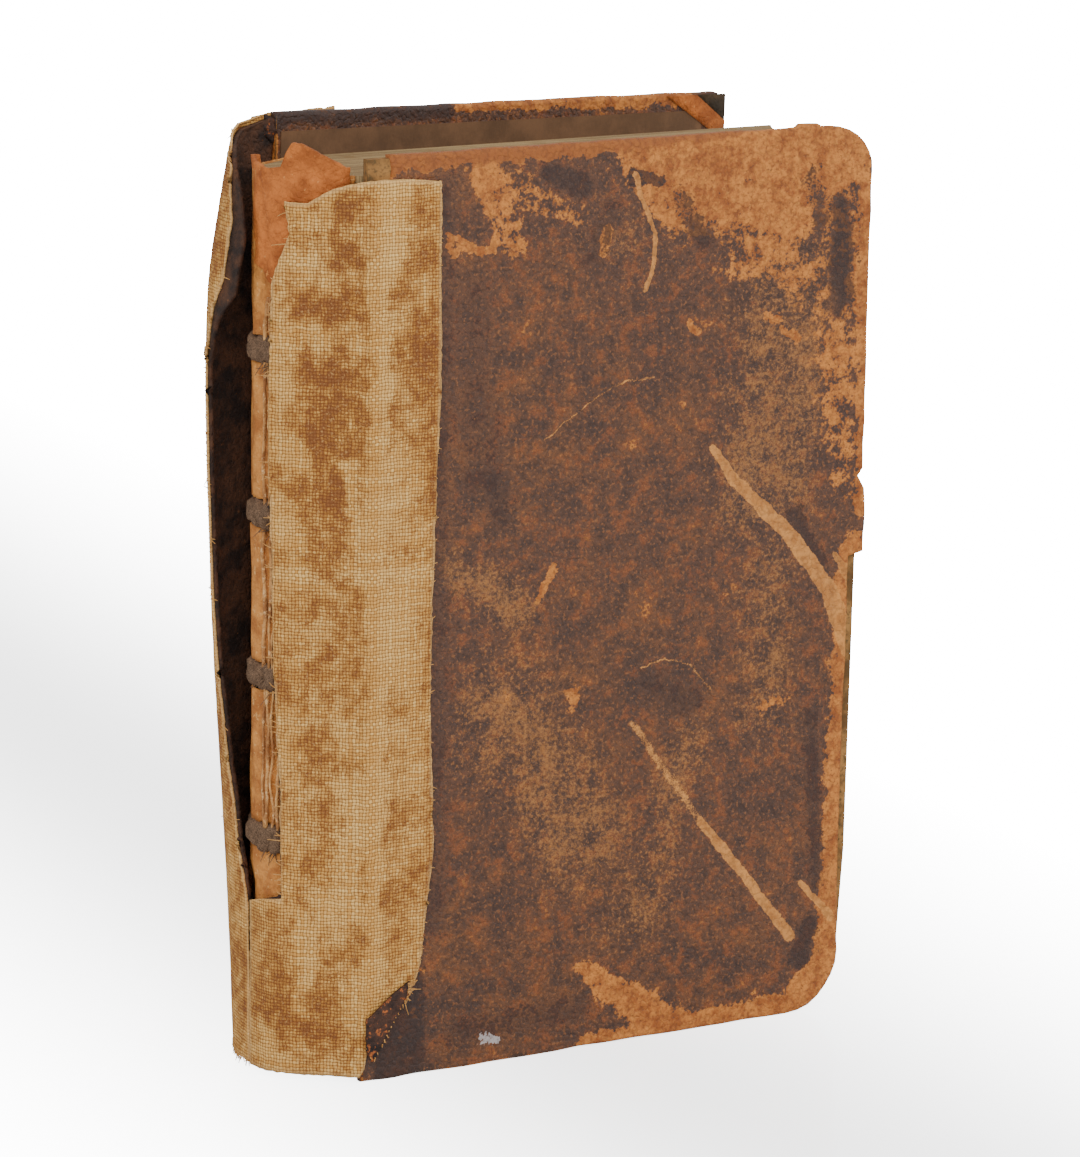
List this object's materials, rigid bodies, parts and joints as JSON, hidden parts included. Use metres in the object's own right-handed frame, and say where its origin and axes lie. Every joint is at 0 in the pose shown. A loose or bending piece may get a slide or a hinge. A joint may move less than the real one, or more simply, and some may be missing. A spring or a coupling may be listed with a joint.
{
  "type": "hardback book",
  "caption": "Worn old hardback book in mottled leather with a cloth repair strip, standing on its tail, its spine torn loose over the sewing and the rear cover ajar.",
  "frame": {"origin": "middle of the front cover's tail edge, on the floor that the book stands on", "axes": "+X from the spine to the fore edge, +Y from the front cover to the rear cover, +Z from the tail to the head"},
  "size_m": [0.1318, 0.0555, 0.1837],
  "materials": {
    "pages": "aged, matte",
    "cord": "twisted hemp, dull",
    "lining": "rough, undyed",
    "worn_leather": "rubbed, dull",
    "dark_leather": "old, dull",
    "cover_leather": "mottled, satin",
    "board": "raw",
    "pastedown": "browned, matte",
    "cloth": "coarse plain weave, stained"
  },
  "bodies": {
    "pages": {"text_block": "pages", "sewing_cord_1": "cord", "sewing_cord_2": "cord", "sewing_cord_3": "cord", "sewing_cord_4": "cord", "spine_lining_1": "lining", "spine_lining_2": "lining", "spine_lining_3": "lining", "spine_lining_4": "lining", "spine_lining_5": "lining", "head_leather": "worn_leather", "spine_leather": "dark_leather", "spine_cloth": "cloth"},
    "front_cover": {"front_board": "board", "front_leather": "cover_leather", "front_pastedown": "pastedown", "front_cord_slips": "cord", "front_cloth": "cloth"},
    "rear_cover": {"rear_board": "board", "rear_leather": "cover_leather", "rear_pastedown": "pastedown", "rear_cord_slips": "cord", "rear_cloth": "cloth"}
  },
  "joints": [
    {"name": "front_cover_hinge", "type": "hinge", "parent": "pages", "child": "front_cover", "pos_m": [-0.0557, -0.0015, 0], "axis": [0, 0, -1], "range_deg": [0, 160]},
    {"name": "rear_cover_hinge", "type": "hinge", "parent": "pages", "child": "rear_cover", "pos_m": [-0.0633, 0.0361, 0.00379], "axis": [0.0345, 0.0052, 0.9994], "range_deg": [-10, 125]}
  ]
}
